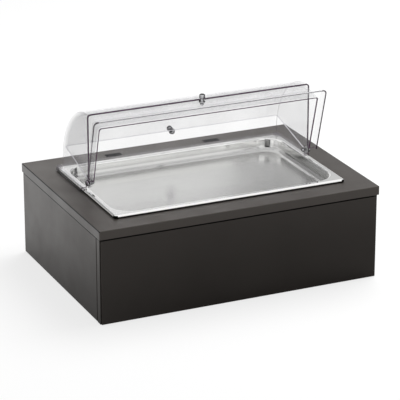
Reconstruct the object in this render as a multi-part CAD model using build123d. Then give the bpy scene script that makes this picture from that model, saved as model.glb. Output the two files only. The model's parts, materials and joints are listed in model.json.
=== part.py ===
from build123d import *
import os
from math import asin, cos, degrees, radians, sin

# A heated buffet dome: a low dark box with an electrically heated well in its lid, a
# gastronorm pan hanging in the well, and a clear two-shell roll-top cover on the pan's rim.
# All sizes are in millimetres. The origin is on the floor under the middle of the lid,
# +X runs along the long side, +Y to the back and +Z up. The front shell is built rolled back.

# Lid and box
lid_thickness = 19.0
lid_top = 207.0
lid_corner_radius = 1.5
lid_edge_radius = 1.2
lid_overhang = 2.2
shadow_gap = 3.0
panel_thickness = 19.0
panel_edge_chamfer = 0.8
side_seam_gap = 3.5
panel_rebate_depth = 4.0
panel_rebate_width = 2.0
rear_panel_recess = 3.0
base_thickness = 16.0
foot_height = 1.0

# Cleats, corner blocks and feet
cleat_width = 22.0
cleat_side_room = 3.8
cleat_front_room = 1.3
cleat_rear_room = 18.3
foot_radius = 14.0
foot_stud_radius = 6.0
foot_chamfer = 0.4
foot_stud_length = 7.0
foot_inset = 48.0
push_fit = 0.05

# Two dark inserts let into the rear strip of the lid
insert_length = 37.0
insert_width = 18.0
insert_depth = 3.0
insert_spacing = 236.0
insert_setback = 34.0
insert_corner_radius = 2.0
insert_proud = 0.3

# Gastronorm pan, full size
pan_rim_length = 530.0
pan_rim_depth = 325.0
pan_rim_radius = 6.0
pan_rim_width = 13.0
pan_sheet = 1.0
pan_lip_height = 6.4
pan_lip_radius = 4.0
pan_mouth_radius = 3.5
pan_deep = 28.0
pan_corner_radius = 46.0
pan_wall_draft = 3.0
pan_floor_radius = 14.0
seat_gap = 0.3

# Heated well under the pan
well_clearance = 3.0
well_sheet = 1.0
well_bead_width = 6.0
well_bead_height = 5.7
well_bead_radius = 1.4
well_floor_gap = 8.0
well_floor_radius = 8.0
lid_opening_clearance = 1.0
foil_margin = 36.0
foil_thickness = 1.5
foil_corner_radius = 12.0
insulation_thickness = 20.0
insulation_clearance = 0.5
tray_sheet = 1.0
tray_side_gap = 3.0
tray_flange = 12.0
tray_corner_radius = 20.0
cutout_radius = 8.0
cutout_height = 9.0
cutout_x = -80.0
cutout_tab = (6.0, 0.8, 8.0)
probe_radius = 2.5
probe_end_radius = 1.5
probe_length = 70.0
probe_x = 60.0
probe_offset_y = 60.0

# Screws
screw_radius = 2.0
screw_head_radius = 4.0
screw_head_height = 2.4
screw_head_soft = 1.4
lid_screw_length = 37.0
base_screw_length = 40.0
tray_screw_length = 10.0
housing_screw_length = 15.0
screw_fit = 0.05

# Roll-top cover
pivot_height = 15.7
wall = 3.0
flange_width = 10.8
flange_end_width = 6.8
shell_gap = 1.2
shell_corner_radius = 8.0
rear_edge_forward = 3.0
front_span = 91.5
flange_lip_clearance = 1.0
flange_lip_height = 5.0
flange_cutback = 13.0
flange_bend_radius = 2.0
hinge_lobe_radius = 10.0

# Hinge hardware
pin_radius = 3.0
pin_fit = 0.08
pin_head_radius = 6.5
pin_head_height = 4.5
pin_head_soft = 3.1
cap_nut_radius = 5.0
cap_nut_height = 7.0
cap_nut_flats_height = 4.2
cap_nut_dome_radius = 4.1
cap_nut_dome_soft = 3.0
washer_radius = 7.0
washer_play = 0.3

# Turned knobs
knob_angle = 12.0
knob_base_radius = 7.0
knob_base_height = 2.0
knob_neck_radius = 3.6
knob_head_radius = 6.2
knob_height = 17.5
knob_head_level = 9.0
knob_foot_soft = 0.8
knob_neck_soft = 1.2
knob_head_soft = 2.4
knob_stop_gap = 0.3
knob_screw_radius = 2.0
knob_screw_head_radius = 4.0
knob_screw_head_height = 4.5
knob_screw_head_soft = 1.8
knob_screw_reach = 8.0

# Controls, set back in the rear panel
housing_inset = 128.8
housing_z = 95.0
housing_width = 170.0
housing_height = 60.0
housing_depth = 20.0
housing_sheet = 1.5
housing_flange = 12.0
housing_corner_radius = 6.0
housing_window_clearance = 0.5
inlet_offset = 55.0
inlet_flange = (31.0, 25.0, 2.5)
inlet_corner_radius = 2.0
inlet_body = (27.0, 20.0, 22.0)
inlet_cavity = (24.5, 16.5, 16.0)
inlet_key_chamfer = 4.0
inlet_pin = (2.0, 4.0, 12.0)
inlet_pin_pitch = 7.0
inlet_pin_drop = 2.0
switch_offset = 6.0
switch_bezel = (21.0, 30.0, 2.0)
bezel_corner_radius = 1.5
switch_body = (19.0, 27.0, 20.0)
rocker_half_width = 6.0
rocker_half_height = 9.0
rocker_foot_half = 7.2
rocker_crown = 4.6
rocker_dip = 3.2
rocker_depth = 3.0
rocker_play = 0.4
rocker_tilt = 8.0
trunnion_radius = 1.5
trunnion_length = 1.5
knob_offset = -50.0
dial_radius = 18.0
dial_height = 13.5
dial_skirt = 3.0
dial_skirt_chamfer = 1.2
dial_edge_radius = 1.5
dial_grips = 12
dial_grip_radius = 2.4
dial_grip_depth = 1.1
dial_gap = 0.5
pointer_width = 1.6
pointer_depth = 0.8
pointer_length = 9.5
regulator_size = (34.0, 34.0, 28.0)
regulator_corner_radius = 3.0
bush_radius = 5.0
bush_length = 1.6
shaft_radius = 3.0
shaft_fit = 0.06
shaft_reach_in = 12.0
shaft_reach_out = 9.0
terminal_size = (45.0, 22.0, 20.0)
terminal_chamfer = 4.0
terminal_port_height = 8.0
terminal_setback = 70.8
terminal_ports = 3
terminal_port_radius = 3.0
terminal_pitch = 12.0

# Vents
base_vent_radius = 5.0
base_vent_pitch = 30.0
base_vent_count = 7
rear_slot_length = 60.0
rear_slot_width = 5.0
rear_slot_pitch = 14.0
rear_slot_count = 5

# Levels and edges worked out from the sizes above
mouth_length = pan_rim_length - 2 * pan_rim_width
mouth_depth = pan_rim_depth - 2 * pan_rim_width
well_length = mouth_length + 2 * pan_sheet + 2 * well_clearance
well_depth = mouth_depth + 2 * pan_sheet + 2 * well_clearance
well_radius = pan_corner_radius + pan_sheet + well_clearance
foil_length = well_length - 2 * foil_margin
foil_depth = well_depth - 2 * foil_margin
tray_length = well_length + 2 * well_sheet + 2 * tray_side_gap
tray_depth = well_depth + 2 * well_sheet + 2 * tray_side_gap
frame_width = tray_sheet + tray_flange + cleat_width + panel_thickness + lid_overhang
lid_length = tray_length + 2 * (frame_width + cleat_side_room)
lid_front_reach = tray_depth / 2 + frame_width + cleat_front_room
lid_rear_reach = tray_depth / 2 + frame_width + cleat_rear_room + rear_panel_recess
lid_depth = lid_front_reach + lid_rear_reach
pan_y = (lid_front_reach - lid_rear_reach) / 2
body_half_x = lid_length / 2 - lid_overhang
body_half_y = lid_depth / 2 - lid_overhang
insert_y = lid_depth / 2 - insert_setback
lid_under = lid_top - lid_thickness
panel_top = lid_under - shadow_gap
inner_half_x = body_half_x - panel_thickness
front_inner_y = -body_half_y + panel_thickness
rear_outer_y = body_half_y - rear_panel_recess
rear_inner_y = rear_outer_y - panel_thickness
base_top = foot_height + base_thickness
cleat_bottom = lid_under - cleat_width
bead_top = lid_top + well_bead_height
rim_under = bead_top + seat_gap
rim_top = rim_under + pan_sheet
pan_floor = rim_top - pan_deep
well_floor = pan_floor - pan_sheet - well_floor_gap
foil_top = well_floor - well_sheet
foil_under = foil_top - foil_thickness
tray_floor = foil_under - insulation_thickness
flange_under = rim_top + seat_gap
flange_corner_radius = pan_rim_radius + flange_lip_clearance + wall
pivot_z = flange_under + pivot_height
rear_radius = pan_rim_depth / 2 - flange_width
rear_half_length = pan_rim_length / 2 - flange_end_width
rear_inner_radius = rear_radius - wall
front_radius = rear_inner_radius - shell_gap
front_inner_radius = front_radius - wall
front_half_length = rear_half_length - wall - shell_gap
front_inner_half = front_half_length - wall
stop_reach = rear_edge_forward + knob_base_radius + knob_stop_gap
open_angle = 90 - knob_angle - degrees(asin(stop_reach / rear_inner_radius))
housing_x = inner_half_x - housing_inset
terminal_x = housing_x
terminal_y = rear_inner_y - terminal_setback
rear_slot_x = -housing_x
control_face = rear_outer_y + housing_sheet - housing_depth
control_back = control_face - housing_sheet
far = 2 * (rear_half_length + rear_radius)
pivot = Pos(0, pan_y, pivot_z)


def block(x0, x1, y0, y1, z0, z1):
    """A cuboid between the given corners."""
    return Pos((x0 + x1) / 2, (y0 + y1) / 2, (z0 + z1) / 2) * Box(x1 - x0, y1 - y0, z1 - z0)


def rounded(length, depth, radius, z0, z1, y=0.0):
    """An upright rounded block, centred on x = 0 and the given y."""
    return Pos(0, y, z0) * extrude(RectangleRounded(length, depth, radius), z1 - z0)


def pillar(x, y, radius, z0, z1):
    """An upright cylinder."""
    return Pos(x, y, (z0 + z1) / 2) * Cylinder(radius, z1 - z0)


def rod_y(x, z, radius, y0, y1):
    """A cylinder along Y."""
    return Pos(x, (y0 + y1) / 2, z) * Rot(X=90) * Cylinder(radius, y1 - y0)


def group(shapes):
    """Separate solids kept together under one name."""
    return Compound(children=[solid for shape in shapes for solid in shape.solids()])


def corners(half_x, y0, y1):
    """The four corner points of a rectangle that is centred on x = 0."""
    return [(x, y) for x in (-half_x, half_x) for y in (y0, y1)]


def foot_places():
    return corners(body_half_x - foot_inset, -body_half_y + foot_inset, body_half_y - foot_inset)


def block_places():
    """Middles of the four corner blocks."""
    half = cleat_width / 2
    return corners(inner_half_x - half, front_inner_y + half, rear_inner_y - half)


def lid_screw_places():
    """Screws through the long cleats into the lid, away from the corner blocks."""
    half = cleat_width / 2
    third = inner_half_x / 3
    rows = (front_inner_y + half, rear_inner_y - half)
    return [(x, y) for x in (-2 * third, 0, 2 * third) for y in rows]


def tray_screw_places():
    """Screws through the tray's flange into the lid."""
    half_x = (tray_length + tray_flange) / 2 + tray_sheet
    half_y = (tray_depth + tray_flange) / 2 + tray_sheet
    ends = [(x, pan_y + y) for x in (-half_x, half_x) for y in (-half_y / 2, half_y / 2)]
    sides = [(x, pan_y + y) for x in (-half_x / 2, half_x / 2) for y in (-half_y, half_y)]
    return ends + sides


def housing_screw_places():
    """Screws through the control housing's flange, as x and z."""
    half_x = (housing_width + housing_flange) / 2
    half_z = (housing_height + housing_flange) / 2
    return [(housing_x + x, housing_z + z) for x in (-half_x, half_x) for z in (-half_z, half_z)]


def screw_up(x, y, z, length):
    """A pan-headed screw driven upwards, the underside of its head at z."""
    head = pillar(x, y, screw_head_radius, z - screw_head_height, z)
    head = chamfer(head.edges().group_by(Axis.Z)[0], screw_head_soft)
    return head + pillar(x, y, screw_radius, z, z + length)


def front_panel():
    """The front panel, rebated at both ends so that a dark line shows at the corners."""
    rebate_x = body_half_x - panel_rebate_width
    rebate_y = -body_half_y + panel_rebate_depth
    face = block(-rebate_x, rebate_x, -body_half_y, rebate_y, foot_height, panel_top)
    face = chamfer(face.faces().sort_by(Axis.Y)[0].edges(), panel_edge_chamfer)
    return face + block(-body_half_x, body_half_x, rebate_y, front_inner_y, foot_height, panel_top)


def side_panel(side):
    outer = side * body_half_x
    inner = side * inner_half_x
    y0 = front_inner_y + side_seam_gap
    panel = block(min(outer, inner), max(outer, inner), y0, body_half_y, foot_height, panel_top)
    outside = panel.faces().sort_by(Axis.X)[0 if side < 0 else -1].edges()
    return chamfer(outside, panel_edge_chamfer)


def rear_panel():
    panel = block(-inner_half_x, inner_half_x, rear_inner_y, rear_outer_y, foot_height, panel_top)
    window = RectangleRounded(
        housing_width + 2 * housing_sheet + 2 * housing_window_clearance,
        housing_height + 2 * housing_sheet + 2 * housing_window_clearance,
        housing_corner_radius + housing_sheet,
    )
    through = 2 * panel_thickness
    panel -= Pos(housing_x, rear_outer_y, housing_z) * Rot(X=90) * extrude(window, through, both=True)
    for x, z in housing_screw_places():
        y0 = rear_outer_y + housing_sheet - housing_screw_length
        panel -= rod_y(x, z, screw_radius + screw_fit, y0, rear_outer_y)
    slot = extrude(SlotOverall(rear_slot_length, rear_slot_width), through, both=True)
    for i in range(rear_slot_count):
        z = housing_z + (i - (rear_slot_count - 1) / 2) * rear_slot_pitch
        panel -= Pos(rear_slot_x, rear_outer_y, z) * Rot(X=90) * slot
    return panel


def base_panel():
    panel = block(-inner_half_x, inner_half_x, front_inner_y, rear_inner_y, foot_height, base_top)
    for x, y in foot_places():
        panel -= pillar(x, y, foot_stud_radius + push_fit, foot_height, foot_height + foot_stud_length)
    for x, y in block_places():
        panel -= pillar(x, y, screw_radius + screw_fit, foot_height, base_top)
        head_top = foot_height + screw_head_height
        panel -= pillar(x, y, screw_head_radius + screw_fit, foot_height, head_top)
    for i in range(base_vent_count):
        x = (i - (base_vent_count - 1) / 2) * base_vent_pitch
        for y in (pan_y - base_vent_pitch / 2, pan_y + base_vent_pitch / 2):
            panel -= pillar(x, y, base_vent_radius, foot_height, base_top)
    return panel


def corner_blocks():
    blocks = []
    for x, y in block_places():
        half = cleat_width / 2
        post = block(x - half, x + half, y - half, y + half, base_top, cleat_bottom)
        reach = foot_height + screw_head_height + base_screw_length
        post -= pillar(x, y, screw_radius + screw_fit, base_top, reach)
        blocks.append(post)
    return group(blocks)


def lid_cleats():
    cleats = []
    for y0 in (front_inner_y, rear_inner_y - cleat_width):
        rail = block(-inner_half_x, inner_half_x, y0, y0 + cleat_width, cleat_bottom, lid_under)
        for x, y in lid_screw_places():
            rail -= pillar(x, y, screw_radius + screw_fit, cleat_bottom, lid_under)
        cleats.append(rail)
    y0 = front_inner_y + cleat_width
    y1 = rear_inner_y - cleat_width
    for x0 in (-inner_half_x, inner_half_x - cleat_width):
        cleats.append(block(x0, x0 + cleat_width, y0, y1, cleat_bottom, lid_under))
    return group(cleats)


def lid():
    top = rounded(lid_length, lid_depth, lid_corner_radius, lid_under, lid_top)
    top = fillet(top.edges().group_by(Axis.Z)[-1], lid_edge_radius)
    outer = 2 * (well_sheet + lid_opening_clearance)
    radius = well_radius + well_sheet + lid_opening_clearance
    top -= rounded(well_length + outer, well_depth + outer, radius, lid_under, lid_top, pan_y)
    top -= insert_shape(lid_top - insert_depth, lid_top, push_fit)
    for x, y in lid_screw_places():
        reach = cleat_bottom + lid_screw_length
        top -= pillar(x, y, screw_radius + screw_fit, lid_under, reach)
    for x, y in tray_screw_places():
        reach = lid_under - tray_sheet + tray_screw_length
        top -= pillar(x, y, screw_radius + screw_fit, lid_under, reach)
    return top


def insert_shape(z0, z1, grow):
    """The pair of lid inserts, or with some growth the pockets for them."""
    outline = RectangleRounded(
        insert_length + 2 * grow, insert_width + 2 * grow, insert_corner_radius + grow
    )
    pad = extrude(outline, z1 - z0)
    places = (-insert_spacing / 2, insert_spacing / 2)
    return group([Pos(x, insert_y, z0) * pad for x in places])


def rubber_feet():
    feet = []
    for x, y in foot_places():
        pad = pillar(x, y, foot_radius, 0, foot_height)
        pad = chamfer(pad.edges().group_by(Axis.Z)[0], foot_chamfer)
        stud = pillar(x, y, foot_stud_radius, foot_height, foot_height + foot_stud_length)
        feet.append(pad + stud)
    return group(feet)


def well_liner():
    """A pressed basin that hangs in the lid by a raised bead, which carries the pan's rim."""
    skin = 2 * well_sheet
    outer_radius = well_radius + well_sheet
    basin = rounded(well_length + skin, well_depth + skin, outer_radius, foil_top, bead_top, pan_y)
    basin = fillet(basin.edges().group_by(Axis.Z)[0], well_floor_radius + well_sheet)
    bead_length = well_length + 2 * well_bead_width
    bead_depth = well_depth + 2 * well_bead_width
    corner = well_radius + well_bead_width
    bead = rounded(bead_length, bead_depth, corner, lid_top, bead_top, pan_y)
    bead = fillet(bead.edges().group_by(Axis.Z)[-1], well_bead_radius)
    channel = rounded(
        bead_length - skin, bead_depth - skin, corner - well_sheet,
        lid_top, bead_top - well_sheet, pan_y,
    )
    hollow = rounded(well_length, well_depth, well_radius, well_floor, bead_top, pan_y)
    hollow = fillet(hollow.edges().group_by(Axis.Z)[0], well_floor_radius)
    return bead - channel + basin - hollow


def heater_foil():
    return rounded(foil_length, foil_depth, foil_corner_radius, foil_under, foil_top, pan_y)


def insulation_mat():
    length = tray_length - 2 * insulation_clearance
    depth = tray_depth - 2 * insulation_clearance
    radius = tray_corner_radius - insulation_clearance
    mat = rounded(length, depth, radius, tray_floor, foil_under, pan_y)
    tab_reach = cutout_height + cutout_tab[2]
    pocket_radius = cutout_radius + insulation_clearance
    mat -= pillar(cutout_x, pan_y, pocket_radius, foil_under - tab_reach, foil_under)
    y = pan_y + probe_offset_y
    half = probe_radius + insulation_clearance
    x0 = probe_x - insulation_clearance
    x1 = probe_x + probe_length + insulation_clearance
    return mat - block(x0, x1, y - half, y + half, foil_under - 2 * half, foil_under)


def heat_shield_tray():
    skin = 2 * tray_sheet
    outer_radius = tray_corner_radius + tray_sheet
    z0 = tray_floor - tray_sheet
    tray = rounded(tray_length + skin, tray_depth + skin, outer_radius, z0, lid_under, pan_y)
    flange_x = tray_length + skin + 2 * tray_flange
    flange_y = tray_depth + skin + 2 * tray_flange
    flange = rounded(flange_x, flange_y, outer_radius, lid_under - tray_sheet, lid_under, pan_y)
    for x, y in tray_screw_places():
        flange -= pillar(x, y, screw_radius + screw_fit, lid_under - tray_sheet, lid_under)
    inside = rounded(tray_length, tray_depth, tray_corner_radius, tray_floor, lid_under, pan_y)
    return tray + flange - inside


def safety_cutout():
    """A disc thermostat against the heater foil, with two blade tabs."""
    body = pillar(cutout_x, pan_y, cutout_radius, foil_under - cutout_height, foil_under)
    width, thickness, drop = cutout_tab
    for side in (-1, 1):
        x = cutout_x + side * cutout_radius / 2
        z1 = foil_under - cutout_height
        body += block(
            x - thickness / 2, x + thickness / 2, pan_y - width / 2, pan_y + width / 2, z1 - drop, z1
        )
    return body


def temperature_probe():
    y = pan_y + probe_offset_y
    place = Pos(probe_x + probe_length / 2, y, foil_under - probe_radius - push_fit)
    tube = Cylinder(probe_radius, probe_length)
    tube = fillet(tube.edges().filter_by(GeomType.CIRCLE), probe_end_radius)
    return place * Rot(Y=90) * tube


def pan_form(inset, floor):
    """The pan's body as a solid, with drafted walls and a wide bend round its floor."""
    sections = []
    for z, step in ((rim_top, inset), (floor, inset + pan_wall_draft)):
        outline = RectangleRounded(
            mouth_length - 2 * step, mouth_depth - 2 * step, pan_corner_radius - step
        )
        sections.append(Pos(0, pan_y, z) * outline)
    form = loft(sections, ruled=True)
    return fillet(form.edges().group_by(Axis.Z)[0], pan_floor_radius - inset)


def gn_pan():
    """The pressed pan: a rim with a turned-down lip, drafted walls and a flat floor."""
    lip_bottom = rim_top - pan_lip_height
    rim = rounded(pan_rim_length, pan_rim_depth, pan_rim_radius, lip_bottom, rim_top, pan_y)
    rim = fillet(rim.edges().group_by(Axis.Z)[-1], pan_lip_radius)
    skin = 2 * pan_sheet
    under = rounded(
        pan_rim_length - skin, pan_rim_depth - skin, pan_rim_radius - pan_sheet,
        lip_bottom, rim_under, pan_y,
    )
    under = fillet(under.edges().group_by(Axis.Z)[-1], pan_lip_radius - pan_sheet)
    outside = pan_form(-pan_sheet, pan_floor - pan_sheet)
    pan = rim - under + outside
    low, high = rim_under - push_fit, rim_under + push_fit
    seats = pan.faces().filter_by(Plane.XY).filter_by_position(Axis.Z, low, high)
    pan = fillet(seats[0].inner_wires()[0].edges(), pan_mouth_radius - pan_sheet)
    pan -= pan_form(0.0, pan_floor)
    top = pan.faces().filter_by(Plane.XY).sort_by(Axis.Z)[-1]
    return fillet(top.inner_wires()[0].edges(), pan_mouth_radius)


def shell_form(radius, half_length, corner):
    """A closed barrel about the hinge axis with its skirt, as one solid around the axis."""
    section = Pos(0, radius / 2) * Rectangle(2 * half_length, radius)
    section = fillet(section.vertices().group_by(Axis.Y)[-1], corner)
    barrel = revolve(Plane.XZ * section, Axis.X, 360)
    barrel &= block(-half_length, half_length, -radius, radius, 0, radius)
    skirt = extrude(RectangleRounded(2 * half_length, 2 * radius, corner), -pivot_height)
    return barrel + skirt


def cover_shell(radius, half_length):
    """A whole two-sided dome about the hinge axis, with its flange and turned-down lip."""
    reach_x = pan_rim_length / 2 + flange_lip_clearance
    reach_y = pan_rim_depth / 2 + flange_lip_clearance
    under = -pivot_height
    plate = Pos(0, 0, under - flange_lip_height) * extrude(
        RectangleRounded(2 * (reach_x + wall), 2 * (reach_y + wall), flange_corner_radius),
        flange_lip_height + wall,
    )
    plate = fillet(plate.edges().group_by(Axis.Z)[-1], flange_bend_radius)
    recess = Pos(0, 0, under - flange_lip_height) * extrude(
        RectangleRounded(2 * reach_x, 2 * reach_y, flange_corner_radius - wall), flange_lip_height
    )
    outside = shell_form(radius, half_length, shell_corner_radius)
    inside = shell_form(radius - wall, half_length - wall, shell_corner_radius - wall)
    return plate - recess + outside - inside


def hinge_lobes(half_length):
    """Round ears of the end walls about the hinge pins."""
    lobes = []
    for side in (-1, 1):
        middle = side * (half_length - wall / 2)
        lobes.append(Pos(middle, 0, 0) * Rot(Y=90) * Cylinder(hinge_lobe_radius, wall))
    return lobes


def pin_holes(radius, half_length):
    hole = Rot(Y=90) * Cylinder(radius, wall)
    return [Pos(side * (half_length - wall / 2), 0, 0) * hole for side in (-1, 1)]


def cover_half(radius, half_length, trim, hole_radius, knob_place):
    """One shell of the cover: the dome, cut to its half, with its hinge ears and knob hole."""
    below = pivot_height + flange_lip_height
    half = cover_shell(radius, half_length) - trim
    half -= block(-far, far, -far, flange_cutback, -2 * below, 0)
    for lobe in hinge_lobes(half_length):
        half += lobe
    for hole in pin_holes(hole_radius, half_length):
        half -= hole
    return half - knob_place * Cylinder(knob_screw_radius + screw_fit, 4 * wall)


def knob_location(angle, radius):
    """A frame on the shell with its Z axis pointing outwards, angle up from the back."""
    return Rot(X=angle - 90) * Pos(0, 0, radius)


def rear_cover():
    trim = block(-far, far, -far, -rear_edge_forward, -far, far)
    place = knob_location(knob_angle, rear_radius)
    half = cover_half(rear_radius, rear_half_length, trim, pin_radius + screw_fit, place)
    return pivot * half


def front_cover():
    """Built like the rear shell, then turned to the front and rolled back to its stop."""
    trim = Rot(X=front_span - 90) * block(-far, far, -far, 0, -far, far)
    place = knob_location(knob_angle, front_radius)
    half = cover_half(front_radius, front_half_length, trim, pin_radius + pin_fit, place)
    return pivot * Rot(X=-open_angle) * Rot(Z=180) * half


def turned_knob():
    """A small turned knob on its own Z axis: foot, neck and head, all with soft edges."""
    section = make_face(Polyline(
        (0, 0), (knob_base_radius, 0), (knob_base_radius, knob_base_height),
        (knob_neck_radius, knob_base_height), (knob_neck_radius, knob_head_level),
        (knob_head_radius, knob_head_level), (knob_head_radius, knob_height), (0, knob_height),
        close=True,
    ))
    bends = [
        (knob_base_radius, knob_base_height, knob_foot_soft),
        (knob_neck_radius, knob_base_height, knob_neck_soft),
        (knob_neck_radius, knob_head_level, knob_neck_soft),
        (knob_head_radius, knob_head_level, knob_head_soft / 2),
        (knob_head_radius, knob_height, knob_head_soft),
    ]
    for x, y, soft in bends:
        section = fillet(section.vertices().sort_by_distance((x, y, 0))[0], soft)
    knob = revolve(Plane.XZ * section, Axis.Z, 360)
    bore = Cylinder(knob_screw_radius + screw_fit, knob_screw_reach)
    return knob - Pos(0, 0, knob_screw_reach / 2) * bore


def knob_screw(inner_radius):
    """The screw that holds a knob, from inside the shell, on the knob's own Z axis."""
    sag = knob_screw_head_radius**2 / (2 * inner_radius)
    top = -wall - sag - screw_fit
    head = Pos(0, 0, top - knob_screw_head_height / 2)
    head *= Cylinder(knob_screw_head_radius, knob_screw_head_height)
    head = chamfer(head.edges().group_by(Axis.Z)[0], knob_screw_head_soft)
    length = knob_screw_reach - top
    return head + Pos(0, 0, top + length / 2) * Cylinder(knob_screw_radius, length)


def on_front(shape):
    place = knob_location(knob_angle, front_radius)
    return pivot * Rot(X=-open_angle) * Rot(Z=180) * place * shape


def on_rear(shape):
    return pivot * knob_location(knob_angle, rear_radius) * shape


def hinge_pins():
    """Bolts from outside, through both end walls, with low domed heads."""
    pins = []
    for side in (-1, 1):
        inner = front_inner_half - washer_play - cap_nut_flats_height
        shank = Cylinder(pin_radius, rear_half_length - inner)
        shank = Pos(0, 0, (rear_half_length + inner) / 2) * shank
        head = Pos(0, 0, rear_half_length + pin_head_height / 2)
        head *= Cylinder(pin_head_radius, pin_head_height)
        head = fillet(head.edges().group_by(Axis.Z)[-1], pin_head_soft)
        pins.append(pivot * Rot(Y=90 * side) * (head + shank))
    return group(pins)


def cap_nuts():
    """Domed nuts on the inner ends of the hinge bolts."""
    nuts = []
    for side in (-1, 1):
        face = front_inner_half - washer_play
        hexagon = extrude(RegularPolygon(cap_nut_radius, 6), -cap_nut_flats_height)
        dome = Cylinder(cap_nut_dome_radius, cap_nut_height)
        dome = fillet(dome.edges().group_by(Axis.Z)[0], cap_nut_dome_soft)
        nut = hexagon + Pos(0, 0, -cap_nut_height / 2) * dome
        bore = Cylinder(pin_radius + screw_fit, cap_nut_flats_height)
        nut -= Pos(0, 0, -cap_nut_flats_height / 2) * bore
        nuts.append(pivot * Rot(Y=90 * side) * Pos(0, 0, face) * nut)
    return group(nuts)


def hinge_washers():
    """Spacers between the two shells' end walls."""
    washers = []
    thickness = shell_gap - washer_play
    for side in (-1, 1):
        ring = Cylinder(washer_radius, thickness)
        ring -= Cylinder(pin_radius + screw_fit, thickness)
        middle = rear_half_length - wall - thickness / 2
        washers.append(pivot * Rot(Y=90 * side) * Pos(0, 0, middle) * ring)
    return group(washers)


def back_plate(x, width, height, depth, y1, chamfer_top=0.0):
    """A block that reaches inwards from y1, centred on x at the controls' height."""
    shape = Pos(x, y1 - depth / 2, housing_z) * Box(width, depth, height)
    if chamfer_top:
        edges = shape.edges().filter_by(Axis.Y).group_by(Axis.Z)[-1]
        shape = chamfer(edges, chamfer_top)
    return shape


def control_housing():
    """A pressed tray let into the rear panel, so that no control stands out behind the lid."""
    def tray(width, height, radius, y0, y1):
        outline = RectangleRounded(width, height, radius)
        return Pos(housing_x, y0, housing_z) * Rot(X=90) * extrude(outline, y0 - y1)

    outer = rear_outer_y + housing_sheet
    skin = 2 * housing_sheet
    radius = housing_corner_radius
    corner = radius + housing_sheet
    shape = tray(housing_width + skin, housing_height + skin, corner, control_back, outer)
    wide = skin + 2 * housing_flange
    shape += tray(housing_width + wide, housing_height + wide, radius, rear_outer_y, outer)
    shape -= tray(housing_width, housing_height, radius, control_face, outer)
    for x, z in housing_screw_places():
        shape -= rod_y(x, z, screw_radius + screw_fit, rear_outer_y, outer)
    fit = 2 * push_fit
    for offset, body in ((inlet_offset, inlet_body), (switch_offset, switch_body)):
        width, height = body[0] + fit, body[1] + fit
        shape -= back_plate(housing_x + offset, width, height, housing_sheet, control_face)
    bush_x = housing_x + knob_offset
    return shape - rod_y(bush_x, housing_z, bush_radius + push_fit, control_back, control_face)


def housing_screws():
    screws = []
    outer = rear_outer_y + housing_sheet
    for x, z in housing_screw_places():
        head = rod_y(x, z, screw_head_radius, outer, outer + screw_head_height)
        head = chamfer(head.edges().group_by(Axis.Y)[-1], screw_head_soft)
        screws.append(head + rod_y(x, z, screw_radius, outer - housing_screw_length, outer))
    return group(screws)


def mains_inlet():
    """An appliance inlet with a keyed socket."""
    x = housing_x + inlet_offset
    width, height, thickness = inlet_flange
    shape = back_plate(x, width, height, thickness, control_face + thickness)
    shape = fillet(shape.edges().filter_by(Axis.Y), inlet_corner_radius)
    shape += back_plate(x, *inlet_body, control_face)
    width, height, depth = inlet_cavity
    mouth = control_face + thickness
    return shape - back_plate(x, width, height, depth, mouth, inlet_key_chamfer)


def inlet_pins():
    pins = []
    width, height, length = inlet_pin
    floor = control_face + inlet_flange[2] - inlet_cavity[2]
    for step in (-1, 0, 1):
        x0 = housing_x + inlet_offset + step * inlet_pin_pitch - width / 2
        z0 = housing_z + (inlet_pin_drop if step == 0 else -inlet_pin_drop) - height / 2
        pins.append(block(x0, x0 + width, floor, floor + length, z0, z0 + height))
    return group(pins)


def rocker_form():
    """The rocker about its pivot axis, crowned at both ends and dipped in the middle."""
    outline = Polyline(
        (-rocker_depth, -rocker_foot_half), (rocker_crown, -rocker_half_height), (rocker_dip, 0),
        (rocker_crown, rocker_half_height), (-rocker_depth, rocker_foot_half), close=True,
    )
    return Plane.YZ * extrude(make_face(outline), rocker_half_width, both=True)


def switch_pivot():
    return Pos(housing_x + switch_offset, control_face, housing_z)


def switch_frame():
    """The switch's bezel and body, hollowed for the rocker with two trunnion holes."""
    x = housing_x + switch_offset
    width, height, thickness = switch_bezel
    shape = back_plate(x, width, height, thickness, control_face + thickness)
    shape = fillet(shape.edges().filter_by(Axis.Y), bezel_corner_radius)
    shape += back_plate(x, *switch_body, control_face)
    lean = radians(rocker_tilt)
    room_z = rocker_half_height * cos(lean) + rocker_crown * sin(lean) + rocker_play
    room_y = rocker_depth * cos(lean) + rocker_foot_half * sin(lean) + rocker_play
    room_x = rocker_half_width + rocker_play
    mouth = control_face + thickness
    shape -= back_plate(x, 2 * room_x, 2 * room_z, thickness + room_y, mouth)
    hole = Rot(Y=90) * Cylinder(trunnion_radius + pin_fit, 2 * (rocker_half_width + trunnion_length))
    return shape - switch_pivot() * hole


def switch_rocker():
    shape = rocker_form()
    reach = 2 * (rocker_half_width + trunnion_length - pin_fit)
    shape += Rot(Y=90) * Cylinder(trunnion_radius, reach)
    return switch_pivot() * Rot(X=-rocker_tilt) * shape


def regulator():
    """The heat regulator behind the dial, with the bush that its shaft turns in."""
    x = housing_x + knob_offset
    shape = back_plate(x, *regulator_size, control_back)
    shape = fillet(shape.edges().filter_by(Axis.Y), regulator_corner_radius)
    shape += rod_y(x, housing_z, bush_radius, control_back, control_face + bush_length)
    bore_end = control_back - shaft_reach_in - pin_fit
    return shape - rod_y(x, housing_z, shaft_radius + shaft_fit, bore_end, control_face + bush_length)


def dial_shaft():
    x = housing_x + knob_offset
    y1 = control_face + bush_length + dial_gap + shaft_reach_out
    return rod_y(x, housing_z, shaft_radius, control_back - shaft_reach_in, y1)


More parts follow.
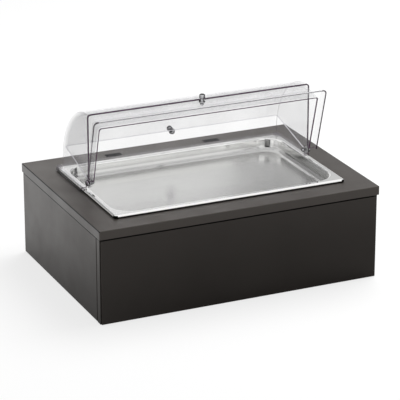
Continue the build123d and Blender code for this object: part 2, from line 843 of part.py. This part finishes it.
def heat_dial():
    """The heat dial: a skirt and a scalloped grip, hollow where the shaft ends, with a pointer."""
    x = housing_x + knob_offset
    y0 = control_face + bush_length + dial_gap
    skirt = rod_y(x, housing_z, dial_radius, y0, y0 + dial_skirt)
    skirt = chamfer(skirt.edges().group_by(Axis.Y)[-1], dial_skirt_chamfer)
    grip_radius = dial_radius - dial_skirt
    grip = rod_y(x, housing_z, grip_radius, y0 + dial_skirt, y0 + dial_height)
    grip = fillet(grip.edges().group_by(Axis.Y)[-1], dial_edge_radius)
    for i in range(dial_grips):
        turn = radians(360 * (i + 0.5) / dial_grips)
        reach = grip_radius + dial_grip_radius - dial_grip_depth
        gx = x + reach * cos(turn)
        gz = housing_z + reach * sin(turn)
        grip -= rod_y(gx, gz, dial_grip_radius, y0 + dial_skirt, y0 + dial_height)
    dial = skirt + grip
    x0 = x - pointer_width / 2
    y1 = y0 + dial_height
    z1 = housing_z + grip_radius
    dial -= block(x0, x0 + pointer_width, y1 - pointer_depth, y1, z1 - pointer_length, z1)
    return dial - rod_y(x, housing_z, shaft_radius + push_fit, y0, y0 + shaft_reach_out)


def terminal_block():
    """Terminals on the base panel for the mains and heater leads."""
    width, depth, height = terminal_size
    x0 = terminal_x - width / 2
    y0 = terminal_y - depth / 2
    shape = block(x0, x0 + width, y0, y0 + depth, base_top, base_top + height)
    shape = chamfer(shape.edges().filter_by(Axis.X).group_by(Axis.Z)[-1], terminal_chamfer)
    port_z = base_top + terminal_port_height
    for i in range(terminal_ports):
        x = terminal_x + (i - (terminal_ports - 1) / 2) * terminal_pitch
        shape -= rod_y(x, port_z, terminal_port_radius, y0, y0 + depth)
        shape -= pillar(x, terminal_y, terminal_port_radius, port_z, base_top + height)
    return shape


def screws_up(places, z, length):
    return group([screw_up(x, y, z, length) for x, y in places])


def build():
    """Every piece of the dome under its name."""
    return {
        "front_panel": front_panel(),
        "left_panel": side_panel(-1),
        "right_panel": side_panel(1),
        "rear_panel": rear_panel(),
        "base_panel": base_panel(),
        "corner_blocks": corner_blocks(),
        "lid_cleats": lid_cleats(),
        "lid": lid(),
        "lid_inserts": insert_shape(lid_top - insert_depth, lid_top + insert_proud, 0.0),
        "rubber_feet": rubber_feet(),
        "base_screws": screws_up(block_places(), foot_height + screw_head_height, base_screw_length),
        "lid_screws": screws_up(lid_screw_places(), cleat_bottom, lid_screw_length),
        "well_liner": well_liner(),
        "heater_foil": heater_foil(),
        "insulation_mat": insulation_mat(),
        "heat_shield_tray": heat_shield_tray(),
        "tray_screws": screws_up(tray_screw_places(), lid_under - tray_sheet, tray_screw_length),
        "safety_cutout": safety_cutout(),
        "temperature_probe": temperature_probe(),
        "terminal_block": terminal_block(),
        "control_housing": control_housing(),
        "housing_screws": housing_screws(),
        "mains_inlet": mains_inlet(),
        "inlet_pins": inlet_pins(),
        "switch_frame": switch_frame(),
        "switch_rocker": switch_rocker(),
        "regulator": regulator(),
        "dial_shaft": dial_shaft(),
        "heat_dial": heat_dial(),
        "gn_pan": gn_pan(),
        "rear_cover": rear_cover(),
        "rear_knob": on_rear(turned_knob()),
        "rear_knob_screw": on_rear(knob_screw(rear_inner_radius)),
        "hinge_pins": hinge_pins(),
        "cap_nuts": cap_nuts(),
        "hinge_washers": hinge_washers(),
        "front_cover": front_cover(),
        "front_knob": on_front(turned_knob()),
        "front_knob_screw": on_front(knob_screw(front_inner_radius)),
    }


os.makedirs("parts", exist_ok=True)
for name, piece in build().items():
    export_step(piece, f"parts/{name}.step")
print(f"the front shell rests {open_angle:.2f} degrees back, hinge axis at z {pivot_z:.1f}")
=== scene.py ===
import json
import math

import bpy
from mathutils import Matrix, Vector

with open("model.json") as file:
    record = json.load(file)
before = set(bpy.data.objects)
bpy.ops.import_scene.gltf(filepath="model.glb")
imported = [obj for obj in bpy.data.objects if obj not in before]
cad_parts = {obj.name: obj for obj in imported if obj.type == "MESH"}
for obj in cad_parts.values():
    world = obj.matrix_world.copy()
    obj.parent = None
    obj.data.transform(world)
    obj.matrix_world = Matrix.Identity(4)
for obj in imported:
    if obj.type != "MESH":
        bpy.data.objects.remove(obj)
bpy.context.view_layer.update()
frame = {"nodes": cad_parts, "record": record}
nodes = frame["nodes"]

# Directions across the hinge axis, in degrees from +Y towards +Z
BACK = 0.0
FORWARD = 180.0
DOWN = 270.0

# The clear cover as in the CAD, in metres and degrees, with distances from its hinge axis
PIVOT_Y = -0.010
PIVOT_Z = 0.230
OPEN_ANGLE = 74.03
FRONT_SPAN = 91.5
REAR_EDGE_FORWARD = 0.003
LIP_REACH = 0.0207
FOLD_REACH = 0.0157
FOLD_DISTANCE = 0.1445
FOLD_HALF_LENGTH = 0.251
FLANGE_LEVEL = 0.010
FLANGE_CUTBACK = 0.013
END_X = 0.257
END_FOLD_X = 0.2550
END_FOLD_RADIUS = 0.1484

# Half widths of the bands that mark the cover's cut faces, edges and folds
CUT_REACH = 0.0003
LIP_END_REACH = 0.0008
EDGE_REACH = 0.0015
FOLD_BAND = 0.0022

# The box: the banding on the lid's ends, the seam at the banding's top, and the panels' top edges,
# which carry painted shade
BANDING_X = 0.3186
BANDING_SEAM_Z = 0.2048
PANEL_EDGE_Z = 0.1842

# The pan's turned-down lip and its corners, where painted shade goes, and the levels between which
# its steel turns bright
LIP_HALF_LENGTH = 0.262
LIP_HALF_DEPTH = 0.1595
LIP_SHADE_Z = 0.2096
CORNER_HALF_LENGTH = 0.2575
CORNER_HALF_DEPTH = 0.1550
CORNER_SHADE_Z = 0.2130
PAN_MATT_Z = 0.196
PAN_POLISHED_Z = 0.206

# The index line on the dial: its middle, the level where it begins and half its width
DIAL_X = 0.120
DIAL_LINE_Z = 0.101
DIAL_LINE_REACH = 0.0007

# Colours, as linear red, green and blue
WHITE = (1.0, 1.0, 1.0)
BOX_COLOUR = (0.0225, 0.0195, 0.0177)
LID_COLOUR = (0.029, 0.0250, 0.0225)
# Near-black: the real seam atop the lid's banding, and painted shade on the panels' top edges, the
# pan's lip and the rear cover's lip
SEAM_AND_PAINTED_SHADE_COLOUR = (0.003, 0.003, 0.003)
BLACK_PLASTIC = (0.018, 0.018, 0.018)
LACQUER_TINT = (1.0, 0.92, 0.85)
BANDING_COLOUR = (0.070, 0.062, 0.057)
PRINT_COLOUR = (0.75, 0.75, 0.73)
PAN_FLOOR_COLOUR = (0.68, 0.68, 0.67)
PAN_RIM_COLOUR = (0.94, 0.94, 0.93)
CHROME_COLOUR = (0.72, 0.72, 0.74)
# Chrome's colour at its outline, a painted reflection of a darker room
CHROME_PAINTED_REFLECTION = (0.03, 0.028, 0.03)
SHEET_COLOUR = (0.62, 0.61, 0.64)
# The clear cover's cut faces and folds: the violet is the sheet's own tint darkened as painted
# shade, the pale colours are painted highlights and the fold colours painted reflections
EDGE_COLOUR = (0.060, 0.014, 0.055)
TRAILING_COLOUR = (0.85, 0.84, 0.88)
FOLD_COLOUR = (0.12, 0.05, 0.11)
END_FOLD_COLOUR = (0.20, 0.18, 0.21)
LIP_END_COLOUR = (0.97, 0.96, 0.99)
FLOOR_COLOUR = (0.3, 0.3, 0.3)
CARD_COLOUR = (0.004, 0.004, 0.004)

# The usual reach of Blender's noise, and grain as a scale along X, Y and Z
NOISE_LOW = 0.3
NOISE_HIGH = 0.7
BOARD_GRAIN = (3.0, 60.0, 60.0)
PAN_GRAIN = (2.5, 60.0, 60.0)
WELL_GRAIN = (2.0, 60.0, 60.0)
PIN_GRAIN = (60.0, 4.0, 60.0)
NO_GRAIN = (1.0, 1.0, 1.0)

# Polished metal: the roughness of the pan's rim, and the facing over which chrome's colour darkens
# as a painted reflection
POLISHED_ROUGHNESS = 0.07
CHROME_OUTLINE = (0.02, 0.38)

# The veil on clear sheet, its thin part, and Schlick's approximation of gloss at a glance
VEIL_BASE = 0.075
VEIL_GLOSS = 0.3
THIN_VEIL = 0.3
SCHLICK_BASE = 0.04
SCHLICK_POWER = 5.0

# How opaque the edges of the clear cover are, where their colours paint highlights, reflections and
# shade
END_FOLD_OPACITY = 0.30
FLANGE_END_OPACITY = 0.6
REAR_LIP_OPACITY = 0.75
REAR_EDGE_OPACITY = 0.97
TRAILING_OPACITY = 0.75
FOLD_OPACITY = 0.95
# The lip's violet painted shade is stronger at the right end than at the left
RIGHT_LIP_OPACITY = 0.92
LEFT_LIP_OPACITY = 0.55

# The studio: its light, its floor, which mirrors darker near the part as painted shade, and what
# its cards face
AMBIENT = 0.5
FLOOR_SIZE = 30.0
FLOOR_LIFT = 0.72
FLOOR_MIRROR = 1.0
FLOOR_SQUEEZE = (0.75, 1.0, 1.0)
FLOOR_DARK_PLACE = (0.15, -0.30, 0.0)
FLOOR_DARK_RANGE = (0.25, 1.0)
CARD_TARGET = (0.0, 0.0, 0.2)

# Camera at the photograph's place, fitted to the box's corners and the pan's rim
CAMERA_PLACE = (-1.8769, -4.1389, 1.8641)
CAMERA_YAW = math.radians(24.446)
CAMERA_PITCH = math.radians(20.683)
CAMERA_LENS = 202.71
CAMERA_CLIP_END = 100.0


class Graph:
    """The node tree of a material or a world, with one short call for each kind of node."""

    def __init__(self, owner, shader):
        owner.use_nodes = True
        self.owner = owner
        self.tree = owner.node_tree
        self.shader = self.tree.nodes[shader]

    def feed(self, socket, value):
        """Link a socket or give it a value. Colours come without their alpha."""
        if isinstance(value, bpy.types.NodeSocket):
            self.tree.links.new(value, socket)
        elif socket.type == "RGBA":
            socket.default_value = (*value, 1.0)
        else:
            socket.default_value = value

    def set(self, **inputs):
        """Fill sockets of the shader, with an underscore for each space in their names."""
        for key, value in inputs.items():
            self.feed(self.shader.inputs[key.replace("_", " ")], value)
        return self.owner

    def node(self, kind, inputs=None, **settings):
        made = self.tree.nodes.new("ShaderNode" + kind)
        for key, value in settings.items():
            setattr(made, key, value)
        for key, value in (inputs or {}).items():
            self.feed(made.inputs[key], value)
        return made

    def operate(self, kind, operation, values):
        """A math node. Its input sockets share one name, so they are filled in order."""
        made = self.node(kind, operation=operation)
        for socket, value in zip(made.inputs, values):
            self.feed(socket, value)
        return made.outputs["Value"]

    def math(self, operation, *values):
        return self.operate("Math", operation, values)

    def vector_math(self, operation, *values):
        return self.operate("VectorMath", operation, values)

    def above(self, value, limit):
        return self.math("GREATER_THAN", value, limit)

    def below(self, value, limit):
        return self.math("LESS_THAN", value, limit)

    def size(self, value):
        return self.math("ABSOLUTE", value)

    def near(self, value, target, reach):
        return self.below(self.size(self.math("SUBTRACT", value, target)), reach)

    def both(self, first, second):
        return self.math("MULTIPLY", first, second)

    def either(self, first, second):
        return self.math("MAXIMUM", first, second)

    def place(self):
        return self.node("TexCoord").outputs["Object"]

    def axes(self):
        return self.node("SeparateXYZ", {"Vector": self.place()}).outputs

    def stretched(self, scale):
        return self.node("Mapping", {"Vector": self.place(), "Scale": scale}).outputs["Vector"]

    def facing(self):
        """0 where the surface faces the viewer and 1 where it is seen at a glance."""
        return self.node("LayerWeight").outputs["Facing"]

    def span(self, value, low, high, start=0.0, end=1.0):
        """low where the value is at its start and high at its end."""
        inputs = {"Value": value, "From Min": start, "From Max": end, "To Min": low, "To Max": high}
        return self.node("MapRange", inputs).outputs["Result"]

    def blend(self, factor, first, second):
        inputs = {"Factor": factor, "A": first, "B": second}
        return self.node("Mix", inputs, data_type="RGBA").outputs["Result"]

    def noise(self, scale, detail=2.0, vector=None, roughness=0.5):
        inputs = {"Scale": scale, "Detail": detail, "Roughness": roughness}
        inputs["Vector"] = self.place() if vector is None else vector
        return self.node("TexNoise", inputs).outputs["Fac"]

    def uneven(self, low, high, scale, detail, start=NOISE_LOW):
        """A number that drifts over the surface between low and high."""
        return self.span(self.noise(scale, detail), low, high, start, NOISE_HIGH)

    def varied(self, colour, share, scale, detail=3.0, vector=None):
        """A colour that drifts over the surface by a share of itself, lighter and darker."""
        low = [channel * (1 - share) for channel in colour]
        high = [min(1.0, channel * (1 + share)) for channel in colour]
        return self.blend(self.noise(scale, detail, vector), low, high)

    def bump(self, height, strength, distance):
        inputs = {"Height": height, "Strength": strength, "Distance": distance}
        self.set(Normal=self.node("Bump", inputs).outputs["Normal"])


def new_material(name):
    return Graph(bpy.data.materials.new(name), "Principled BSDF")


def lacquer(name, colour, roughness, ior, trim_and_shade):
    """Satin lacquer on board: faint mottling, a fine spray texture and worn, slightly duller
    places. Its last argument gives a mask, a colour and a tint of the gloss for each edge that
    differs, as real trim on the lid and as painted shade on the panels."""
    g = new_material(name)
    g.bump(g.noise(scale=900.0), strength=0.06, distance=0.0004)
    rough = g.uneven(roughness - 0.05, roughness + 0.05, scale=14.0, detail=4.0)
    paint = g.varied(colour, share=0.10, scale=9.0)
    tint = LACQUER_TINT
    for mask, edge_colour, edge_tint in trim_and_shade(g):
        paint = g.blend(mask, paint, edge_colour)
        tint = g.blend(mask, tint, edge_tint)
    return g.set(Base_Color=paint, Roughness=rough, IOR=ior, Specular_Tint=tint)


def panel_painted_shade(g):
    """The panels' top edges, painted near-black as painted shade, so that the gap under the lid
    reads as a dark line.
    """
    return [(g.above(g.axes()["Z"], PANEL_EDGE_Z), SEAM_AND_PAINTED_SHADE_COLOUR, SEAM_AND_PAINTED_SHADE_COLOUR)]


def lid_trim(g):
    """The lid's paler edge banding at both ends, with the dark seam along its top."""
    axes = g.axes()
    end = g.above(g.size(axes["X"]), BANDING_X)
    seam = g.both(end, g.above(axes["Z"], BANDING_SEAM_Z))
    return [(end, BANDING_COLOUR, WHITE), (seam, SEAM_AND_PAINTED_SHADE_COLOUR, SEAM_AND_PAINTED_SHADE_COLOUR)]


def board(name, colour):
    """Unfinished board: long fibres along X and a dusty surface."""
    g = new_material(name)
    fibres = g.stretched(BOARD_GRAIN)
    g.bump(g.noise(scale=6.0, detail=6.0, vector=fibres), strength=0.4, distance=0.0006)
    paint = g.varied(colour, share=0.25, scale=4.0, detail=6.0, vector=fibres)
    return g.set(Base_Color=paint, Roughness=0.8)


def steel(name, colour, roughness, grain, scale):
    """Rolled or brushed steel: fine lines along the grain, uneven polish and faint scuffs."""
    g = new_material(name)
    brushed = g.stretched(grain)
    g.bump(g.noise(scale, detail=5.0, vector=brushed), strength=0.10, distance=0.0002)
    rough = g.uneven(roughness * 0.8, roughness * 1.25, scale=22.0, detail=5.0)
    paint = g.varied(colour, share=0.06, scale=scale / 3, detail=4.0, vector=brushed)
    return g.set(Base_Color=paint, Metallic=1.0, Roughness=rough)


def chrome(name):
    """Polished plating with a trace of handling on it. Its colour darkens towards its outline,
    a painted reflection of a room that is darker than a studio."""
    g = new_material(name)
    rough = g.uneven(0.03, 0.10, scale=260.0, detail=4.0, start=0.35)
    painted_reflection = g.span(g.facing(), 0.0, 1.0, *CHROME_OUTLINE)
    paint = g.blend(painted_reflection, g.varied(CHROME_COLOUR, share=0.04, scale=200.0), CHROME_PAINTED_REFLECTION)
    return g.set(Base_Color=paint, Metallic=1.0, Roughness=rough)


def plastic(name, colour, roughness, texture=0.25, print_mask=None):
    """Moulded plastic with a fine spark-eroded texture, and white print where a mask gives it."""
    g = new_material(name)
    g.bump(g.noise(scale=2600.0), strength=texture, distance=0.0002)
    rough = g.uneven(roughness - 0.05, roughness + 0.07, scale=90.0, detail=3.0)
    paint = g.varied(colour, share=0.12, scale=40.0)
    if print_mask:
        paint = g.blend(print_mask(g), paint, PRINT_COLOUR)
    return g.set(Base_Color=paint, Roughness=rough)


def dial_line(g):
    """1 on the dial's index line, which points up when the dial stands at zero."""
    axes = g.axes()
    return g.both(g.near(axes["X"], DIAL_X, DIAL_LINE_REACH), g.above(axes["Z"], DIAL_LINE_Z))


def rubber(name, colour, specular=0.5):
    """Matt moulded rubber with a dusty bloom."""
    g = new_material(name)
    g.bump(g.noise(scale=1500.0, detail=3.0), strength=0.3, distance=0.0003)
    paint = g.varied(colour, share=0.25, scale=60.0, detail=4.0)
    return g.set(Base_Color=paint, Roughness=0.75, Specular_IOR_Level=specular)


def fibre_mat(name, colour):
    """Pressed mineral fibre: tangled threads and soft lumps."""
    g = new_material(name)
    g.bump(g.noise(scale=420.0, detail=8.0, roughness=0.7), strength=0.8, distance=0.001)
    paint = g.varied(colour, share=0.15, scale=300.0, detail=6.0)
    return g.set(Base_Color=paint, Roughness=0.95)


def pan_painted_shade(g, axes):
    """1 on the lowest edge of the pan's turned-down lip and on the lip at the corners, where
    painted shade stands in for the contact shadow and the dark things mirrored there.
    """
    length = g.size(axes["X"])
    depth = g.size(g.math("SUBTRACT", axes["Y"], PIVOT_Y))
    outside = g.either(g.above(length, LIP_HALF_LENGTH), g.above(depth, LIP_HALF_DEPTH))
    edge = g.both(outside, g.below(axes["Z"], LIP_SHADE_Z))
    corner = g.both(g.above(length, CORNER_HALF_LENGTH), g.above(depth, CORNER_HALF_DEPTH))
    corner = g.both(corner, g.below(axes["Z"], CORNER_SHADE_Z))
    return g.either(edge, corner)


def pan_steel(name):
    """Deep-drawn steel: bright on the rim and the walls, brushed matt by use on the floor, with
    painted shade on the lowest edge of the lip and at the corners.
    """
    g = new_material(name)
    brushed = g.stretched(PAN_GRAIN)
    g.bump(g.noise(scale=7.0, detail=5.0, vector=brushed), strength=0.06, distance=0.0002)
    axes = g.axes()
    bright = g.span(axes["Z"], 0.0, 1.0, PAN_MATT_Z, PAN_POLISHED_Z)
    matt = g.uneven(0.17, 0.23, scale=22.0, detail=5.0)
    rough = g.span(bright, matt, POLISHED_ROUGHNESS)
    paint = g.varied(PAN_FLOOR_COLOUR, share=0.05, scale=2.5, detail=4.0, vector=brushed)
    paint = g.blend(bright, paint, PAN_RIM_COLOUR)
    # Painted shade on the lip's lowest edge and at its corners
    paint = g.blend(pan_painted_shade(g, axes), paint, SEAM_AND_PAINTED_SHADE_COLOUR)
    return g.set(Base_Color=paint, Metallic=1.0, Roughness=rough)


def along(g, angle):
    """How far a point lies from the hinge axis in a direction across it, given by its angle."""
    turn = math.radians(angle)
    direction = (0.0, math.cos(turn), math.sin(turn))
    axis_place = direction[1] * PIVOT_Y + direction[2] * PIVOT_Z
    return g.math("SUBTRACT", g.vector_math("DOT_PRODUCT", g.place(), direction), axis_place)


def cut_face(g, angle, distance):
    """1 on a cut face of the sheet, a plane given by its normal and its distance from the axis."""
    return g.near(along(g, angle), distance, CUT_REACH)


def flange_end(g, down, side):
    """1 on the cut ends of the flange, which lie low and to the shell's own side of the axis."""
    level = g.above(along(g, down), FLANGE_LEVEL)
    return g.both(level, cut_face(g, side, FLANGE_CUTBACK))


def flange_fold(g, down, forward):
    """1 along the inner edge where the barrel and the end walls meet the flange."""
    level = g.near(along(g, down), FOLD_REACH, FOLD_BAND)
    out = along(g, forward)
    side = g.size(g.axes()["X"])
    long_run = g.both(g.near(out, FOLD_DISTANCE, FOLD_BAND), g.below(side, FOLD_HALF_LENGTH))
    short_run = g.both(g.near(side, FOLD_HALF_LENGTH, FOLD_BAND), g.below(out, FOLD_DISTANCE))
    return g.both(level, g.either(long_run, short_run))


def end_fold(g):
    """1 on the rounded fold between the rear shell's barrel and its end walls."""
    axes = g.axes()
    across = g.node("CombineXYZ", {"Y": axes["Y"], "Z": axes["Z"]}).outputs["Vector"]
    radius = g.vector_math("DISTANCE", across, (0.0, PIVOT_Y, PIVOT_Z))
    return g.both(g.above(g.size(axes["X"]), END_FOLD_X), g.above(radius, END_FOLD_RADIUS))


def rear_edges(g):
    """The rear shell: the outline of its ends, a painted reflection; the cut ends of its flange and
    its front edge, a thick violet line, in the sheet's own violet tint darkened as painted shade;
    and the cut end of its lip, dark as painted shade."""
    return [
        (end_fold(g), END_FOLD_COLOUR, END_FOLD_OPACITY),
        (flange_end(g, DOWN, BACK), EDGE_COLOUR, FLANGE_END_OPACITY),
        (cut_face(g, DOWN, LIP_REACH), SEAM_AND_PAINTED_SHADE_COLOUR, REAR_LIP_OPACITY),
        (g.near(along(g, FORWARD), REAR_EDGE_FORWARD, EDGE_REACH), EDGE_COLOUR, REAR_EDGE_OPACITY),
    ]


def front_edges(g):
    """The front shell, rolled back: a pale trailing edge, a painted highlight; the fold of its
    flange, a painted reflection; the cut ends of its flange, in the sheet's own violet tint
    darkened as painted shade; and a lip that takes up that violet tint only at its ends, more
    strongly at the right end than at the left as painted shade, and is pale between them, a painted
    highlight."""
    down = DOWN - OPEN_ANGLE
    x = g.axes()["X"]
    right = g.both(g.above(x, END_X), RIGHT_LIP_OPACITY)
    left = g.both(g.below(x, -END_X), LEFT_LIP_OPACITY)
    middle = g.below(g.size(x), END_X)
    lip_end = g.near(along(g, down), LIP_REACH, LIP_END_REACH)
    return [
        (cut_face(g, down - FRONT_SPAN, 0.0), TRAILING_COLOUR, TRAILING_OPACITY),
        (flange_fold(g, down, FORWARD - OPEN_ANGLE), FOLD_COLOUR, FOLD_OPACITY),
        (flange_end(g, down, FORWARD - OPEN_ANGLE), EDGE_COLOUR, FLANGE_END_OPACITY),
        (cut_face(g, down, LIP_REACH), EDGE_COLOUR, g.either(right, left)),
        (g.both(lip_end, middle), LIP_END_COLOUR, 1.0),
    ]


def front_thin(g):
    """1 on the long run of the front shell's flange and lip, away from its ends."""
    middle = g.below(g.size(g.axes()["X"]), END_X)
    return g.both(middle, g.above(along(g, DOWN - OPEN_ANGLE), FOLD_REACH))


def clear(name, edges, thin=None):
    """Clear sheet: nearly see-through, glossier at a glance. edges gives masks with a colour and
    an opacity each, and a later one covers the earlier. thin masks where the veil is thinner."""
    g = new_material(name)
    gloss = g.span(g.math("POWER", g.facing(), SCHLICK_POWER), SCHLICK_BASE, 1.0)
    veil = g.math("ADD", g.math("MULTIPLY", gloss, VEIL_GLOSS), VEIL_BASE)
    alpha = g.math("MULTIPLY", veil, g.uneven(0.8, 1.2, scale=9.0, detail=3.0))
    if thin:
        alpha = g.math("MULTIPLY", alpha, g.span(thin(g), 1.0, THIN_VEIL))
    colour = SHEET_COLOUR
    for mask, tint, opacity in edges(g):
        colour = g.blend(mask, colour, tint)
        alpha = g.either(alpha, g.both(mask, opacity))
    haze = g.uneven(0.02, 0.06, scale=30.0, detail=4.0)
    return g.set(Base_Color=colour, Roughness=haze, Alpha=alpha)


slot_finishes = {
    "wood_lacquer": lacquer("wood_lacquer", BOX_COLOUR, 0.36, 1.5, panel_painted_shade),
    "lid_lacquer": lacquer("lid_lacquer", LID_COLOUR, 0.42, 1.68, lid_trim),
    "raw_board": board("raw_board", (0.40, 0.30, 0.20)),
    "insert_rubber": rubber("insert_rubber", (0.010, 0.010, 0.010), specular=0.08),
    "feet_rubber": rubber("feet_rubber", (0.02, 0.02, 0.02)),
    "zinc_steel": steel("zinc_steel", (0.55, 0.56, 0.58), 0.38, NO_GRAIN, scale=300.0),
    "well_steel": steel("well_steel", (0.50, 0.50, 0.50), 0.35, WELL_GRAIN, scale=8.0),
    "silicone": rubber("silicone", (0.35, 0.06, 0.03)),
    "mineral_mat": fibre_mat("mineral_mat", (0.72, 0.68, 0.52)),
    "black_plastic": plastic("black_plastic", BLACK_PLASTIC, 0.42),
    "ceramic": plastic("ceramic", (0.70, 0.66, 0.56), 0.35, texture=0.1),
    "housing_paint": plastic("housing_paint", (0.04, 0.04, 0.04), 0.48, texture=0.5),
    "pin_brass": steel("pin_brass", (0.66, 0.50, 0.22), 0.22, PIN_GRAIN, scale=20.0),
    "rocker_plastic": plastic("rocker_plastic", (0.03, 0.03, 0.03), 0.18, texture=0.05),
    "pan_steel": pan_steel("pan_steel"),
    "chrome": chrome("chrome"),
    "washer_plastic": plastic("washer_plastic", (0.75, 0.75, 0.75), 0.4, texture=0.1),
}
node_finishes = {
    "heat_dial": plastic("dial_plastic", BLACK_PLASTIC, 0.42, print_mask=dial_line),
    "rear_cover": clear("clear_rear", rear_edges),
    "front_cover": clear("clear_front", front_edges, front_thin),
}
for part in frame["record"]["subparts"]:
    finish = node_finishes.get(part["node"]) or slot_finishes[part["material_slot"]]
    for slot in nodes[part["node"]].material_slots:
        slot.material = finish


def mirrored_rays(g, rays):
    """1 for what is seen mirrored or through clear sheet."""
    return g.either(rays["Is Glossy Ray"], rays["Is Transmission Ray"])


def studio_world():
    """A white surround for the camera and for reflections, dimmer as a light."""
    world = bpy.data.worlds.new("studio")
    bpy.context.scene.world = world
    g = Graph(world, "Background")
    rays = g.node("LightPath").outputs
    white = g.either(rays["Is Camera Ray"], mirrored_rays(g, rays))
    g.set(Color=WHITE, Strength=g.span(white, AMBIENT, 1.0))


def studio_floor():
    """A pale floor that keeps the object's shadow and mirrors as white only away from it, with
    painted shade in what it mirrors near the part.
    """
    bpy.ops.mesh.primitive_plane_add(size=FLOOR_SIZE)
    floor = bpy.context.object
    floor.name = "floor"
    g = new_material("floor")
    rays = g.node("LightPath").outputs
    far = g.vector_math("DISTANCE", g.stretched(FLOOR_SQUEEZE), FLOOR_DARK_PLACE)
    # Painted shade: the floor mirrors darker near the part
    mirror = g.span(far, 0.0, FLOOR_MIRROR, *FLOOR_DARK_RANGE)
    seen = g.math("MULTIPLY", rays["Is Camera Ray"], FLOOR_LIFT)
    glow = g.math("ADD", seen, g.math("MULTIPLY", mirrored_rays(g, rays), mirror))
    g.set(Base_Color=FLOOR_COLOUR, Roughness=1.0, Specular_IOR_Level=0.0)
    floor.data.materials.append(g.set(Emission_Color=WHITE, Emission_Strength=glow))


def aimed(place, target, axis):
    """The rotation that points an object's axis from its place to a target."""
    return (Vector(target) - Vector(place)).to_track_quat(axis, "Y").to_euler()


def dark_card(name, place, size, level=0.0):
    """A card beside the set, which only mirror-like surfaces see: black, or grey with a level."""
    half = size / 2
    corners = [(-half, -half, 0.0), (half, -half, 0.0), (half, half, 0.0), (-half, half, 0.0)]
    mesh = bpy.data.meshes.new(name)
    mesh.from_pydata(corners, [], [(0, 1, 2, 3)])
    card = bpy.data.objects.new(name, mesh)
    card.location = place
    card.rotation_euler = aimed(place, CARD_TARGET, "Z")
    bpy.context.scene.collection.objects.link(card)
    g = new_material(name)
    g.set(Base_Color=CARD_COLOUR, Roughness=1.0, Specular_IOR_Level=0.0)
    mesh.materials.append(g.set(Emission_Color=WHITE, Emission_Strength=level))
    for kind in ("camera", "diffuse", "transmission", "shadow"):
        setattr(card, "visible_" + kind, False)


def softbox(name, place, target, size, power):
    """A rectangular area lamp, kept out of reflections, where it would be a hard white patch."""
    light = bpy.data.lights.new(name, "AREA")
    light.shape = "RECTANGLE"
    light.size, light.size_y = size
    light.energy = power
    lamp = bpy.data.objects.new(name, light)
    lamp.location = place
    lamp.rotation_euler = aimed(place, target, "-Z")
    lamp.visible_glossy = False
    bpy.context.scene.collection.objects.link(lamp)


studio_world()
studio_floor()
dark_card("left_card", place=(-1.8, -2.4, 1.1), size=1.9)
dark_card("right_card", place=(2.9, -0.25, 0.9), size=1.4)
dark_card("back_card", place=(1.61, 1.67, 1.0), size=1.4, level=0.6)
dark_card("far_card", place=(-1.0, 2.4, 1.1), size=1.7, level=0.35)
softbox("top_light", place=(1.2, 0.6, 2.4), target=(0.0, 0.0, 0.1), size=(2.2, 1.8), power=60.0)

camera = bpy.data.objects.new("camera", bpy.data.cameras.new("camera"))
camera.data.lens = CAMERA_LENS
camera.data.clip_end = CAMERA_CLIP_END
camera.location = CAMERA_PLACE
camera.rotation_euler = (math.pi / 2 - CAMERA_PITCH, 0.0, -CAMERA_YAW)
bpy.context.scene.collection.objects.link(camera)
bpy.context.scene.camera = camera
bpy.context.scene.view_settings.view_transform = "Standard"
